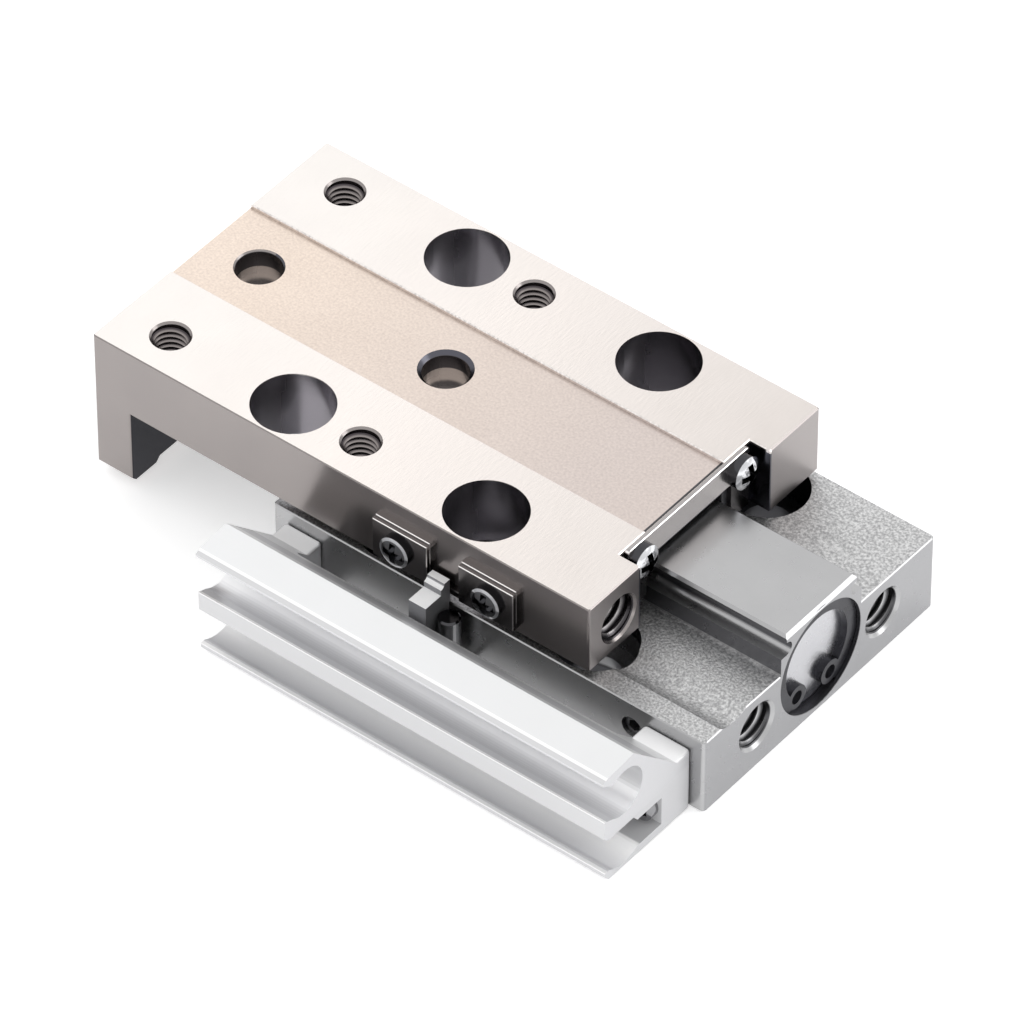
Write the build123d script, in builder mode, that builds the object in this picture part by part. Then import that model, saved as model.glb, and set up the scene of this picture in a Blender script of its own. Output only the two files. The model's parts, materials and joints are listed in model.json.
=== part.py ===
# Pneumatic slide table: a low body with a guide rail along its middle, and a table that a rod drives.
# Units are millimetres. +X runs along the stroke to the port end, -Y is the switch rail side, +Z is up.
# The origin is the centre of the body's bottom mounting face.
# The table is drawn part of the way out, towards -X.
import os

from build123d import *

os.makedirs("parts", exist_ok=True)

# Fits and edges
fit_gap = 0.03
seat_gap = 0.05
edge_break = 0.2
sheet_edge_break = 0.08

# Body block
body_length = 55.4
body_width = 38.0
body_top = 9.9
body_top_near = 9.6
body_top_inner = 9.75
body_edge_top = 9.75
top_groove_depth = 0.5
top_groove_outer = 2.3
top_groove_inner = 1.9
body_edge_radius = 0.5
top_edge_bevel = 0.12

# Guide rail on the body, and the balls
rail_top = 14.45
rail_width = 11.48
rail_foot_width = 13.2
rail_edge_chamfer = 0.3
rail_end_chamfer = 0.4
ball_diameter = 1.588
ball_height = 12.8
ball_gap = 0.06
ball_pitch = 1.9
return_row_inset = 1.1

# Cylinder
bore_diameter = 12.0
bore_height = 7.32
end_recess_diameter = 13.2
head_cap_thickness = 4.0
rod_cover_thickness = 5.0
rod_bush_diameter = 8.0
rod_seal_diameter = 10.0
rod_seal_length = 1.7
o_ring_section = 0.96
o_ring_groove_width = 1.2

# Retaining rings
ring_setback = 0.5
ring_thickness = 0.8
ring_groove_depth = 0.2
ring_width = 1.7
ring_opening_angle = 70.0
ring_opening_direction = -96.0
lug_radius = 1.45
lug_hole_radius = 0.8
lug_reach = 4.8

# Ports, air passages and their plugs
port_diameter = 5.0
port_thread_depth = 6.5
port_drill_diameter = 4.2
port_depth = 10.4
port_spacing = 20.8
port_height = 5.6
port_mouth_diameter = 5.9
passage_diameter = 2.0
passage_offset = 9.6
passage_height = 3.0
passage_overlap = 2.7
passage_plug_length = 2.5
plug_diameter = 2.6
plug_length = 3.0
plug_setback = 0.4
plug_socket_depth = 1.2
plug_socket_radius = 0.75
head_cross_height = 6.5
head_cross_inset = 3.8
rod_cross_inset = 1.1

# Mounting holes in the body
mount_pitch_x = 25.0
mount_pitch_y = 28.0
mount_hole_diameter = 5.5
mount_counterbore_diameter = 9.0
mount_counterbore_depth = 5.1

# Table plate and its leg
table_length = 64.45
table_width = 37.6
table_top = 19.1
table_underside = 10.7
table_end_setback = 0.65
rest_extension = 14.1
stroke = 20.0
table_corner_radius = 0.3
table_edge_chamfer = 0.12
leg_thickness = 4.7
leg_bottom = 1.05
leg_relief = 0.6
leg_pad_width = 3.8
channel_width = 12.8
channel_depth = 0.46
rail_side_clearance = 0.35
rail_top_clearance = 0.5
rail_ledge_clearance = 0.2

# Holes in the table
thread_diameter = 4.0
thread_depth = 6.8
thread_mouth_diameter = 4.45
thread_from_end = 33.08
access_diameter = 8.93
access_from_end = 16.9
locating_diameter = 5.0
locating_depth = 3.0
locating_pitch = 24.6
locating_from_end = 33.4
locating_mouth_rod = 5.4
locating_mouth_head = 5.9
stop_thread_diameter = 5.0
stop_thread_depth = 10.0
stop_thread_mouth = 5.7
stop_thread_height = 14.4

# Ends of the ball guide
notch_depth = 2.65
notch_side_gap = 0.7
end_plate_thickness = 0.58
end_plate_width = 19.8
end_plate_bottom = 11.1
end_plate_opening = 13.8
end_plate_corner_radius = 0.5
head_plate_bar_bottom = 16.0
rod_plate_width = 22.4
guide_depth = 2.6
guide_width = 18.6
guide_bottom = 11.1
guide_top = 14.3
guide_gap = 0.04
guide_flange_thickness = 0.5
guide_flange_wall = 0.25
rod_pocket_length = 5.8
rod_pocket_gap = 0.2
rod_pocket_top = 17.8

# Pan head screws of the end plates
head_plate_screw_inset = 1.7
head_plate_screw_height = 17.15
rod_plate_screw_inset = 2.2
rod_plate_screw_height = 15.6
pan_head_diameter = 3.8
pan_head_height = 1.7
screw_diameter = 2.0
screw_length = 5.0

# Shape of every pan head, as shares of its diameter and height
head_rim = 0.6
recess_span = 0.7
recess_width = 0.2
recess_depth = 0.7

# Rod, piston and rod end
rod_diameter = 6.0
spigot_diameter = 5.0
rod_thread_diameter = 4.0
piston_gap = 0.05
piston_end_gap = 0.2
piston_nose_length = 4.2
piston_nose_diameter = 8.4
bumper_thickness = 1.0
bumper_diameter = 9.4
seal_width = 2.0
seal_depth = 1.6
wear_ring_width = 3.0
wear_ring_depth = 0.8
groove_spacing = 5.0
rod_bolt_hole_diameter = 4.5
nut_pocket_diameter = 8.8
nut_pocket_depth = 2.8
nut_width = 7.0
nut_thickness = 2.0
washer_thickness = 0.4
washer_diameter = 8.0

# Clamp plates, bracket, magnet holder and magnet on the table's near side
clamp_from_end = 17.95
clamp_plate_length = 7.0
clamp_plate_pitch = 11.05
clamp_plate_top = 16.4
clamp_plate_bottom = 11.45
clamp_plate_thickness = 0.5
clamp_screw_pitch = 11.7
clamp_screw_height = 13.85
clamp_head_diameter = 3.65
clamp_head_height = 0.9
clamp_screw_length = 3.0
bracket_thickness = 0.45
bracket_rise = 0.2
holder_from_end = 18.5
holder_width = 2.2
holder_top = 12.0
holder_bottom = 2.9
holder_reach = 4.3
holder_body_gap = 0.4
holder_neck_height = 10.2
holder_tab_height = 1.25
holder_tab_reach = 1.4
holder_tab_radius = 0.55
holder_foot_height = 1.1
magnet_diameter = 2.4
magnet_length = 6.1
magnet_reach = 2.1

# Switch rail: distances out from the body's side, and heights
switch_rail_length = 52.05
switch_rail_inset = 1.65
switch_rail_bottom = 0.2
switch_rail_top = 14.9
switch_rail_reach = 14.1
upper_slot_radius = 2.95
upper_slot_reach = 10.8
upper_slot_height = 10.6
upper_slot_mouth = 12.6
flange_inner_reach = 9.3
lower_slot_floor = 0.75
lower_slot_roof = 5.8
lower_lip_top = 1.45
middle_lip_bottom = 6.3
middle_lip_top = 8.75
lip_width = 0.6
middle_lip_setback = 0.25
lower_lip_setback = 0.4
nose_drop = 1.0
nose_edge_drop = 0.7
nose_shoulder_drop = 0.35
nose_shoulder_setback = 0.6
nut_pocket_reach = 4.7
nut_pocket_floor = 1.3
nut_pocket_top = 5.0
nut_pocket_mouth = 8.6
foot_top = 8.1
foot_width = 2.4
foot_corner_radius = 0.5
foot_edge_radius = 0.35
foot_length_rod = 4.8
foot_length_head = 5.75
milled_reach = 4.6
milled_corner_radius = 1.0
rail_screw_diameter = 2.5
rail_screw_head_diameter = 3.4
rail_screw_head_height = 1.6
rail_screw_engagement = 4.5
rail_screw_height = 3.15
rail_screw_from_end = 2.1

# Places that follow from the sizes above
body_head_x = body_length / 2
body_rod_x = -body_length / 2
body_side_y = body_width / 2
rail_side_y = rail_width / 2
rail_foot_y = rail_foot_width / 2
ball_radius = ball_diameter / 2
ball_track_radius = ball_radius + ball_gap
rail_ledge_z = ball_height - ball_track_radius
mount_row_y = mount_pitch_y / 2
bore_radius = bore_diameter / 2
end_recess_radius = end_recess_diameter / 2
ring_groove_radius = end_recess_radius + ring_groove_depth
cap_face_x = body_head_x - ring_setback - ring_thickness
cap_back_x = cap_face_x - head_cap_thickness
cover_face_x = body_rod_x + ring_setback + ring_thickness
cover_back_x = cover_face_x + rod_cover_thickness
head_cross_x = cap_back_x - head_cross_inset
rod_cross_x = cover_back_x + rod_cross_inset

table_head_x = body_head_x - table_end_setback - rest_extension
table_rod_x = table_head_x - table_length
table_side_y = table_width / 2
leg_face_x = table_rod_x + leg_thickness
channel_floor_z = table_top - channel_depth
tunnel_top_z = rail_top + rail_top_clearance
tunnel_side_y = rail_side_y + rail_side_clearance
tunnel_foot_y = rail_foot_y + rail_side_clearance
tunnel_step_z = rail_ledge_z + rail_ledge_clearance
notch_x = table_head_x - notch_depth
head_guide_x = notch_x - guide_depth
rod_plate_x = leg_face_x + rod_pocket_length
notch_width = end_plate_width + 2 * notch_side_gap
head_plate_screw_offset = end_plate_width / 2 - head_plate_screw_inset
rod_plate_screw_offset = rod_plate_width / 2 - rod_plate_screw_inset
rod_pocket_width = rod_plate_width + 2 * rod_pocket_gap
rod_plate_top = rod_pocket_top - rod_pocket_gap
guide_flange_step = head_plate_screw_height - screw_diameter / 2 - guide_flange_wall
rod_guide_x = rod_plate_x + guide_depth
thread_x = table_head_x - thread_from_end - mount_pitch_x / 2
access_x = table_head_x - access_from_end - mount_pitch_x / 2
mount_x = access_x + rest_extension
return_row_offset = guide_width / 2 - return_row_inset
turn_radius = (return_row_offset - rail_side_y) / 2
turn_y = (return_row_offset + rail_side_y) / 2

piston_reach = piston_nose_length + bumper_thickness + piston_end_gap
piston_length = cap_back_x - cover_back_x - stroke - 2 * piston_reach
piston_head_x = cap_back_x - piston_reach - rest_extension
piston_rod_x = piston_head_x - piston_length
head_nose_x = piston_head_x + piston_nose_length
rod_nose_x = piston_rod_x - piston_nose_length
piston_radius = bore_radius - piston_gap
seal_x = (piston_head_x + piston_rod_x + groove_spacing) / 2
wear_ring_x = seal_x - groove_spacing

clamp_x = table_head_x - clamp_from_end
bracket_y = -table_side_y - bracket_thickness
clamp_face_y = bracket_y - clamp_plate_thickness
holder_x = table_head_x - holder_from_end
holder_y = -table_side_y - holder_reach
magnet_y = -table_side_y - magnet_reach

switch_rail_head_x = body_head_x - switch_rail_inset
switch_rail_rod_x = switch_rail_head_x - switch_rail_length
rod_rail_screw_x = switch_rail_rod_x + rail_screw_from_end
head_rail_screw_x = switch_rail_head_x - rail_screw_from_end


def disc(x, radius, length, height=bore_height, hole=0.0):
    """A disc or ring around the bore's axis that starts at x and runs towards +X."""
    with BuildPart() as piece:
        with BuildSketch(Plane.YZ.offset(x)):
            with Locations((0, height)):
                Circle(radius)
                if hole > 0:
                    Circle(hole, mode=Mode.SUBTRACT)
        extrude(amount=length)
    return piece.part


def o_ring(x, outer_radius):
    """A ring of round section around the bore's axis, centred at x."""
    ring_plane = Plane(origin=(x, 0, bore_height), z_dir=(1, 0, 0))
    with BuildPart() as ring:
        with Locations(ring_plane):
            Torus(outer_radius - o_ring_section / 2, o_ring_section / 2)
    return ring.part


def retaining_ring(x):
    """An internal retaining ring with two eyes, from x towards +X."""
    outer_radius = ring_groove_radius - seat_gap
    first_lug = ring_opening_direction - ring_opening_angle / 2
    last_lug = ring_opening_direction + ring_opening_angle / 2
    with BuildPart() as ring:
        with BuildSketch(Plane.YZ.offset(x)) as outline:
            with Locations((0, bore_height)):
                Circle(outer_radius)
                Circle(outer_radius - ring_width, mode=Mode.SUBTRACT)
            with BuildLine():
                first = PolarLine((0, bore_height), 2 * outer_radius, first_lug)
                last = PolarLine((0, bore_height), 2 * outer_radius, last_lug)
                Line(first @ 1, last @ 1)
            make_face(mode=Mode.SUBTRACT)
            for angle in (first_lug, last_lug):
                with Locations(Location((0, bore_height), angle)):
                    with Locations((lug_reach, 0)):
                        Circle(lug_radius)
                        Circle(lug_hole_radius, mode=Mode.SUBTRACT)
        extrude(amount=ring_thickness)
    return ring.part


def pan_screw(head_diameter, head_height, shank_diameter, shank_length):
    """A pan head screw with a cross recess: it seats at z 0 and its shank runs down."""
    head_radius = head_diameter / 2
    rim_height = head_rim * head_height
    shank_radius = shank_diameter / 2
    with BuildPart() as screw:
        with BuildSketch(Plane.XZ):
            with BuildLine():
                crown = TangentArc((0, head_height), (head_radius, rim_height), tangent=(1, 0))
                Polyline(
                    crown @ 1,
                    (head_radius, 0),
                    (shank_radius, 0),
                    (shank_radius, -shank_length),
                    (0, -shank_length),
                    (0, head_height),
                )
            make_face()
        revolve(axis=Axis.Z)
        with BuildSketch(Plane.XY.offset(head_height)):
            Rectangle(recess_span * head_diameter, recess_width * head_diameter)
            Rectangle(recess_width * head_diameter, recess_span * head_diameter)
        extrude(amount=-recess_depth * head_height, mode=Mode.SUBTRACT)
    return screw.part


def export(piece, name):
    """Labels a finished piece and writes it to its own file."""
    piece.label = name
    export_step(piece, f"parts/{name}.step")


# Body with its rail
with BuildPart() as body:
    with BuildSketch(Plane.YZ.offset(body_rod_x)):
        with BuildLine():
            Polyline(
                (-rail_foot_y, body_top_near),
                (-rail_foot_y, rail_ledge_z),
                (-rail_side_y, rail_ledge_z),
            )
            ThreePointArc(
                (-rail_side_y, rail_ledge_z),
                (-rail_side_y + ball_track_radius, ball_height),
                (-rail_side_y, ball_height + ball_track_radius),
            )
            Polyline(
                (-rail_side_y, ball_height + ball_track_radius),
                (-rail_side_y, rail_top - rail_edge_chamfer),
                (-rail_side_y + rail_edge_chamfer, rail_top),
                (rail_side_y - rail_edge_chamfer, rail_top),
                (rail_side_y, rail_top - rail_edge_chamfer),
                (rail_side_y, ball_height + ball_track_radius),
            )
            ThreePointArc(
                (rail_side_y, ball_height + ball_track_radius),
                (rail_side_y - ball_track_radius, ball_height),
                (rail_side_y, rail_ledge_z),
            )
            Polyline(
                (rail_side_y, rail_ledge_z),
                (rail_foot_y, rail_ledge_z),
                (rail_foot_y, body_top),
                (body_side_y, body_edge_top),
                (body_side_y, 0),
                (-body_side_y, 0),
                (-body_side_y, body_edge_top),
                (-mount_row_y - top_groove_outer, body_edge_top),
            )
            ThreePointArc(
                (-mount_row_y - top_groove_outer, body_edge_top),
                (-mount_row_y, body_edge_top - top_groove_depth),
                (-mount_row_y + top_groove_inner, body_top_inner),
            )
            Line((-mount_row_y + top_groove_inner, body_top_inner), (-rail_foot_y, body_top_near))
        make_face()
    extrude(amount=body_length)
    body_corners = body.edges().filter_by(Axis.Z).group_by(Axis.Y)
    fillet(body_corners[0] + body_corners[-1], body_edge_radius)
    chamfer(body.faces().sort_by(Axis.Z)[0].edges(), edge_break)
    head_edges = body.faces().sort_by(Axis.X)[-1].edges()
    head_top_edges = head_edges.filter_by_position(Axis.Z, body_top_near - edge_break, body_top)
    side_top_edges = body.edges().filter_by(Axis.X).filter_by_position(
        Axis.Z, body_edge_top - fit_gap, body_edge_top + fit_gap
    )
    chamfer(head_top_edges + side_top_edges.sort_by(Axis.Y)[0:1], top_edge_bevel)
    rail_ends = body.edges().filter_by(Axis.Y).group_by(Axis.Z)[-1]
    chamfer(rail_ends, rail_end_chamfer)

    # Bore, end recesses and retaining ring grooves
    add(disc(body_rod_x, bore_radius, body_length), mode=Mode.SUBTRACT)
    add(disc(cap_back_x, end_recess_radius, body_head_x - cap_back_x), mode=Mode.SUBTRACT)
    add(disc(body_rod_x, end_recess_radius, cover_back_x - body_rod_x), mode=Mode.SUBTRACT)
    ring_groove_width = ring_thickness + seat_gap
    add(disc(cap_face_x, ring_groove_radius, ring_groove_width), mode=Mode.SUBTRACT)
    add(disc(cover_face_x - ring_groove_width, ring_groove_radius, ring_groove_width), mode=Mode.SUBTRACT)

    # Counterbored mounting holes
    with Locations((mount_x, 0, body_top)):
        with GridLocations(mount_pitch_x, mount_pitch_y, 2, 2):
            CounterBoreHole(
                mount_hole_diameter / 2, mount_counterbore_diameter / 2, mount_counterbore_depth
            )

    # Ports on the head face
    with Locations(Plane.YZ.offset(body_head_x)):
        with Locations((-port_spacing / 2, port_height), (port_spacing / 2, port_height)):
            Hole(port_drill_diameter / 2, depth=port_depth)
            CounterSinkHole(
                port_diameter / 2, port_mouth_diameter / 2, depth=port_thread_depth, counter_sink_angle=90
            )

    # Side drilling from the near port to the head end of the bore
    with Locations(Plane(origin=(head_cross_x, -body_side_y, head_cross_height), z_dir=(0, -1, 0))):
        Hole(passage_diameter / 2, depth=body_side_y - bore_radius / 2)
        Hole(plug_diameter / 2, depth=plug_setback + plug_length + seat_gap)

    # Long passage from the far port, and the drilling from it to the rod end of the bore
    far_passage_end = body_head_x - port_thread_depth - passage_overlap
    with Locations(Plane(origin=(body_rod_x, passage_offset, passage_height), z_dir=(-1, 0, 0))):
        Hole(passage_diameter / 2, depth=far_passage_end - body_rod_x + passage_overlap / 2)
    with Locations(Plane(origin=(rod_cross_x, body_side_y, passage_height), z_dir=(0, 1, 0))):
        Hole(passage_diameter / 2, depth=body_side_y - bore_radius / 2)
        Hole(plug_diameter / 2, depth=plug_setback + plug_length + seat_gap)

    # Threads for the switch rail's screws
    for screw_x in (rod_rail_screw_x, head_rail_screw_x):
        with Locations(Plane(origin=(screw_x, -body_side_y, rail_screw_height), z_dir=(0, -1, 0))):
            Hole(rail_screw_diameter / 2, depth=rail_screw_engagement + seat_gap)
export(body.part, "body")

# Head cap and its ring
cap_radius = end_recess_radius - fit_gap
groove_floor_radius = cap_radius - o_ring_section
cap_groove_x = (cap_face_x + cap_back_x - o_ring_groove_width) / 2
with BuildPart() as head_cap:
    add(disc(cap_back_x, cap_radius, head_cap_thickness))
    chamfer(head_cap.edges().group_by(Axis.X)[-1], edge_break)
    add(
        disc(cap_groove_x, cap_radius, o_ring_groove_width, hole=groove_floor_radius),
        mode=Mode.SUBTRACT,
    )
export(head_cap.part, "head_cap")
export(o_ring(cap_groove_x + o_ring_groove_width / 2, cap_radius), "head_cap_o_ring")
export(retaining_ring(cap_face_x), "head_retaining_ring")

# Rod cover with its bush and seal
cover_groove_x = (cover_face_x + cover_back_x - o_ring_groove_width) / 2
with BuildPart() as rod_cover:
    add(disc(cover_face_x, cap_radius, rod_cover_thickness, hole=rod_bush_diameter / 2))
    add(disc(cover_face_x, rod_seal_diameter / 2, rod_seal_length), mode=Mode.SUBTRACT)
    add(
        disc(cover_groove_x, cap_radius, o_ring_groove_width, hole=groove_floor_radius),
        mode=Mode.SUBTRACT,
    )
export(rod_cover.part, "rod_cover")
export(o_ring(cover_groove_x + o_ring_groove_width / 2, cap_radius), "rod_cover_o_ring")
export(retaining_ring(cover_face_x - ring_thickness), "rod_retaining_ring")

rod_radius = rod_diameter / 2
bush_length = rod_cover_thickness - rod_seal_length - seat_gap
bush_x = cover_back_x - bush_length
export(disc(bush_x, rod_bush_diameter / 2 - fit_gap, bush_length, hole=rod_radius + fit_gap), "rod_bush")

with BuildPart() as rod_seal:
    add(disc(cover_face_x, rod_seal_diameter / 2 - fit_gap, rod_seal_length, hole=rod_radius + fit_gap))
    chamfer(rod_seal.edges().group_by(Axis.X)[0], edge_break)
export(rod_seal.part, "rod_seal")

# Hex socket plugs of the side drillings
with BuildPart() as plug:
    Cylinder(plug_diameter / 2 - fit_gap, plug_length, align=(Align.CENTER, Align.CENTER, Align.MAX))
    chamfer(plug.edges().group_by(Axis.Z)[-1], edge_break)
    with BuildSketch(Plane.XY):
        RegularPolygon(plug_socket_radius, 6)
    extrude(amount=-plug_socket_depth, mode=Mode.SUBTRACT)
plug_face_y = body_side_y - plug_setback
with BuildPart() as cross_drilling_plugs:
    with Locations(
        Plane(origin=(head_cross_x, -plug_face_y, head_cross_height), z_dir=(0, -1, 0)),
        Plane(origin=(rod_cross_x, plug_face_y, passage_height), z_dir=(0, 1, 0)),
    ):
        add(plug.part)
export(cross_drilling_plugs.part, "cross_drilling_plugs")

with BuildPart() as air_passage_plug:
    with BuildSketch(Plane.YZ.offset(body_rod_x + edge_break)):
        with Locations((passage_offset, passage_height)):
            Circle(passage_diameter / 2 - fit_gap)
    extrude(amount=passage_plug_length)
export(air_passage_plug.part, "air_passage_plug")

# Switch rail: the extruded section, milled back between its two feet
with BuildPart() as switch_rail:
    with BuildSketch(Plane.YZ.offset(switch_rail_rod_x)):
        with BuildLine():
            mouth_rise = (upper_slot_radius**2 - (upper_slot_mouth - upper_slot_reach) ** 2) ** 0.5
            middle_lip_reach = switch_rail_reach - middle_lip_setback
            lower_lip_reach = switch_rail_reach - lower_lip_setback
            nose_shoulder = switch_rail_reach - nose_shoulder_setback
            Polyline(
                (-body_side_y, switch_rail_bottom),
                (-body_side_y - lower_lip_reach + lip_width, switch_rail_bottom),
                (-body_side_y - lower_lip_reach, switch_rail_bottom + lip_width),
                (-body_side_y - lower_lip_reach, lower_lip_top),
                (-body_side_y - lower_lip_reach + lip_width, lower_lip_top),
            )
            ThreePointArc(
                (-body_side_y - lower_lip_reach + lip_width, lower_lip_top),
                (-body_side_y - (lower_lip_reach + nut_pocket_mouth) / 2, lower_slot_floor),
                (-body_side_y - nut_pocket_mouth, nut_pocket_floor),
            )
            Polyline(
                (-body_side_y - nut_pocket_mouth, nut_pocket_floor),
                (-body_side_y - nut_pocket_reach, nut_pocket_floor),
                (-body_side_y - nut_pocket_reach, nut_pocket_top),
                (-body_side_y - nut_pocket_mouth, nut_pocket_top),
                (-body_side_y - nut_pocket_mouth - lip_width, lower_slot_roof),
                (-body_side_y - middle_lip_reach + lip_width, lower_slot_roof),
                (-body_side_y - middle_lip_reach, middle_lip_bottom),
                (-body_side_y - middle_lip_reach, middle_lip_top),
                (-body_side_y - upper_slot_mouth, upper_slot_height - mouth_rise),
            )
            ThreePointArc(
                (-body_side_y - upper_slot_mouth, upper_slot_height - mouth_rise),
                (-body_side_y - upper_slot_reach + upper_slot_radius, upper_slot_height),
                (-body_side_y - upper_slot_mouth, upper_slot_height + mouth_rise),
            )
            Polyline(
                (-body_side_y - upper_slot_mouth, upper_slot_height + mouth_rise),
                (-body_side_y - switch_rail_reach, switch_rail_top - nose_drop),
                (-body_side_y - switch_rail_reach, switch_rail_top - nose_edge_drop),
                (-body_side_y - nose_shoulder, switch_rail_top - nose_shoulder_drop),
                (-body_side_y - flange_inner_reach, switch_rail_top),
                (-body_side_y - foot_width, foot_top),
                (-body_side_y, foot_top),
                (-body_side_y, switch_rail_bottom),
            )
        make_face()
    extrude(amount=switch_rail_length)
    milled_length = switch_rail_length - foot_length_rod - foot_length_head
    milled_x = switch_rail_rod_x + foot_length_rod + milled_length / 2
    with BuildSketch(Plane.XY):
        with Locations((milled_x, -body_side_y)):
            RectangleRounded(milled_length, 2 * milled_reach, milled_corner_radius)
    extrude(amount=2 * switch_rail_top, both=True, mode=Mode.SUBTRACT)
    foot_corners = switch_rail.edges().filter_by(Axis.Z).group_by(Axis.Y)[-1]
    fillet(foot_corners, foot_corner_radius)
    foot_tops = switch_rail.faces().filter_by(Axis.Z).filter_by_position(
        Axis.Z, foot_top - fit_gap, foot_top + fit_gap
    )
    fillet(foot_tops.edges().group_by(Axis.Y)[1:], foot_edge_radius)
    for screw_x in (rod_rail_screw_x, head_rail_screw_x):
        with Locations(Plane(origin=(screw_x, -body_side_y, rail_screw_height), z_dir=(0, 1, 0))):
            Hole(rail_screw_diameter / 2 + seat_gap, depth=nut_pocket_reach + seat_gap)
export(switch_rail.part, "switch_rail")

rail_screw = pan_screw(
    rail_screw_head_diameter,
    rail_screw_head_height,
    rail_screw_diameter - 2 * seat_gap,
    nut_pocket_reach + rail_screw_engagement,
)
rail_screw_y = -body_side_y - nut_pocket_reach
with BuildPart() as switch_rail_screws:
    with Locations(
        Plane(origin=(rod_rail_screw_x, rail_screw_y, rail_screw_height), z_dir=(0, -1, 0)),
        Plane(origin=(head_rail_screw_x, rail_screw_y, rail_screw_height), z_dir=(0, -1, 0)),
    ):
        add(rail_screw)
export(switch_rail_screws.part, "switch_rail_screws")

# Table: the plate over the rail, and the leg that the rod pushes
with BuildPart() as table:
    with BuildSketch(Plane.YZ.offset(table_rod_x)):
        with Locations((0, (table_top + table_underside) / 2)):
            Rectangle(table_width, table_top - table_underside)
        with Locations((0, table_top)):
            Rectangle(channel_width, 2 * channel_depth, mode=Mode.SUBTRACT)
        with Locations((0, table_underside)):
            Rectangle(2 * tunnel_side_y, 2 * (tunnel_top_z - table_underside), mode=Mode.SUBTRACT)
            Rectangle(2 * tunnel_foot_y, 2 * (tunnel_step_z - table_underside), mode=Mode.SUBTRACT)
        with Locations((0, ball_height)):
            with GridLocations(rail_width, 1, 2, 1):
                Circle(ball_track_radius, mode=Mode.SUBTRACT)
            with GridLocations(2 * return_row_offset, 1, 2, 1):
                Circle(ball_track_radius, mode=Mode.SUBTRACT)
    extrude(amount=table_length)
    with BuildSketch(Plane.YZ.offset(table_rod_x)) as leg:
        with BuildLine():
            Polyline(
                (-table_side_y, channel_floor_z),
                (-table_side_y, leg_bottom + leg_relief),
                (-table_side_y + leg_relief, leg_bottom),
                (-table_side_y + leg_pad_width, leg_bottom),
                (-table_side_y + leg_pad_width + leg_relief, leg_bottom + leg_relief),
                (table_side_y - leg_pad_width - leg_relief, leg_bottom + leg_relief),
                (table_side_y - leg_pad_width, leg_bottom),
                (table_side_y - leg_relief, leg_bottom),
                (table_side_y, leg_bottom + leg_relief),
                (table_side_y, channel_floor_z),
                close=True,
            )
        make_face()
    extrude(amount=leg_thickness)
    table_corners = table.edges().filter_by(Axis.Z).group_by(Axis.Y)
    fillet(table_corners[0] + table_corners[-1], table_corner_radius)

    # Pockets beside the rail behind the leg, and the seats of the ball guides
    with BuildSketch(Plane.XY.offset(table_underside)):
        with Locations((leg_face_x, 0)):
            Rectangle(rod_pocket_length, rod_pocket_width, align=(Align.MIN, Align.CENTER))
            Rectangle(
                rod_pocket_length, 2 * tunnel_side_y, align=(Align.MIN, Align.CENTER), mode=Mode.SUBTRACT
            )
    extrude(amount=rod_pocket_top - table_underside, mode=Mode.SUBTRACT)
    with BuildSketch(Plane.XY.offset(table_underside)):
        with Locations((rod_plate_x, 0), (head_guide_x, 0)):
            Rectangle(guide_depth, guide_width + 2 * guide_gap, align=(Align.MIN, Align.CENTER))
    extrude(amount=guide_top + guide_gap - table_underside, mode=Mode.SUBTRACT)

    # Notch at the head end, with the seat of the guide's flange behind it
    with BuildSketch(Plane.XY.offset(table_underside)):
        with Locations((table_head_x, 0)):
            Rectangle(2 * notch_depth, notch_width)
    extrude(amount=table_top - table_underside, mode=Mode.SUBTRACT)
    with BuildSketch(Plane.YZ.offset(notch_x)):
        with Locations((0, guide_top)):
            Rectangle(channel_width, table_top - guide_top, align=(Align.CENTER, Align.MIN))
            Rectangle(
                guide_width + 2 * guide_gap,
                guide_flange_step + guide_gap - guide_top,
                align=(Align.CENTER, Align.MIN),
            )
    extrude(amount=-guide_flange_thickness, mode=Mode.SUBTRACT)

    # Broken edges around the two top lands
    top_lands = table.faces().filter_by(Axis.Z).group_by(Axis.Z)[-1]
    chamfer(top_lands.edges(), table_edge_chamfer)

    # Threads, access holes and locating holes from the top
    with Locations((thread_x, 0, table_top)):
        with GridLocations(mount_pitch_x, mount_pitch_y, 2, 2):
            CounterSinkHole(
                thread_diameter / 2, thread_mouth_diameter / 2, depth=thread_depth, counter_sink_angle=90
            )
    with Locations((access_x, 0, table_top)):
        with GridLocations(mount_pitch_x, mount_pitch_y, 2, 2):
            Hole(access_diameter / 2, depth=table_top - table_underside)
    locating_x = table_head_x - locating_from_end
    with Locations((locating_x, 0, channel_floor_z)):
        CounterSinkHole(
            locating_diameter / 2, locating_mouth_head / 2, depth=locating_depth, counter_sink_angle=90
        )
    with Locations((locating_x - locating_pitch, 0, channel_floor_z)):
        CounterSinkHole(
            locating_diameter / 2, locating_mouth_rod / 2, depth=locating_depth, counter_sink_angle=90
        )

    # Stop thread in the near arm, and the threads of the end plates' screws
    with Locations(Plane(origin=(table_head_x, -mount_row_y, stop_thread_height), z_dir=(1, 0, 0))):
        CounterSinkHole(
            stop_thread_diameter / 2, stop_thread_mouth / 2, depth=stop_thread_depth, counter_sink_angle=90
        )
    end_thread_depth = screw_length - end_plate_thickness + seat_gap
    for side in (-1, 1):
        head_screw_y = side * head_plate_screw_offset
        rod_screw_y = side * rod_plate_screw_offset
        with Locations(
            Plane(origin=(notch_x, head_screw_y, head_plate_screw_height), z_dir=(1, 0, 0)),
            Plane(origin=(rod_plate_x, rod_screw_y, rod_plate_screw_height), z_dir=(-1, 0, 0)),
        ):
            Hole(screw_diameter / 2, depth=end_thread_depth)

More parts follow.
